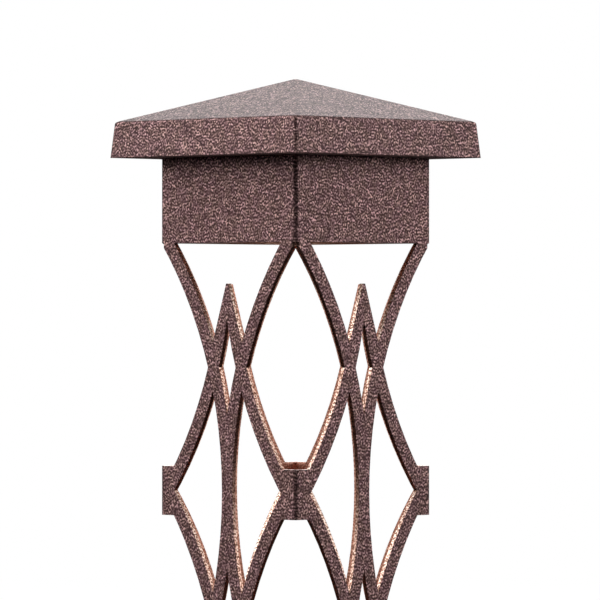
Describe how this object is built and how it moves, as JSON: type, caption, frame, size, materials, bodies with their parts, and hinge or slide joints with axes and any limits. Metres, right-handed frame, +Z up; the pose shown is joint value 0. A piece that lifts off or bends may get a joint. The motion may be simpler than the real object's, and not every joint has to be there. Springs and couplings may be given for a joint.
{
  "type": "fence post cap",
  "caption": "Low pyramid cap that lifts off a pierced square post-top, whose lower collar sockets over a fence post.",
  "frame": {"origin": "centre of the lower collar's rim, at the base", "axes": "+Z up along the post, -Y out of the front face, +X out of the right face"},
  "size_m": [0.1396, 0.1396, 0.3941],
  "materials": {
    "vein_coat": "satin",
    "black_nylon": "matte",
    "screw_steel": "satin"
  },
  "bodies": {
    "post_top": {"wall_front_right": "vein_coat", "wall_back_left": "vein_coat", "seam_weld_left_upper": "vein_coat", "seam_weld_left_band": "vein_coat", "seam_weld_left_lower": "vein_coat", "seam_weld_right_upper": "vein_coat", "seam_weld_right_band": "vein_coat", "seam_weld_right_lower": "vein_coat", "collar_plate": "vein_coat", "post_stop_plate": "vein_coat", "collar_plate_weld_front": "vein_coat", "collar_plate_weld_right": "vein_coat", "collar_plate_weld_back": "vein_coat", "collar_plate_weld_left": "vein_coat", "post_stop_weld_front": "vein_coat", "post_stop_weld_right": "vein_coat", "post_stop_weld_back": "vein_coat", "post_stop_weld_left": "vein_coat", "clamp_washer_front": "black_nylon", "clamp_washer_right": "black_nylon", "clamp_washer_back": "black_nylon", "clamp_washer_left": "black_nylon", "clamp_screw_front": "screw_steel", "clamp_screw_right": "screw_steel", "clamp_screw_back": "screw_steel", "clamp_screw_left": "screw_steel"},
    "cap": {"cap_shell": "vein_coat", "cap_soffit": "vein_coat", "cap_skirt": "vein_coat", "skirt_weld_front": "vein_coat", "skirt_weld_right": "vein_coat", "skirt_weld_back": "vein_coat", "skirt_weld_left": "vein_coat", "skirt_pad_front": "black_nylon", "skirt_pad_right": "black_nylon", "skirt_pad_back": "black_nylon", "skirt_pad_left": "black_nylon"}
  },
  "joints": [
    {"name": "cap_lift", "type": "slide", "parent": "post_top", "child": "cap", "axis": [0, 0, 1], "range_m": [0, 0.08]}
  ]
}
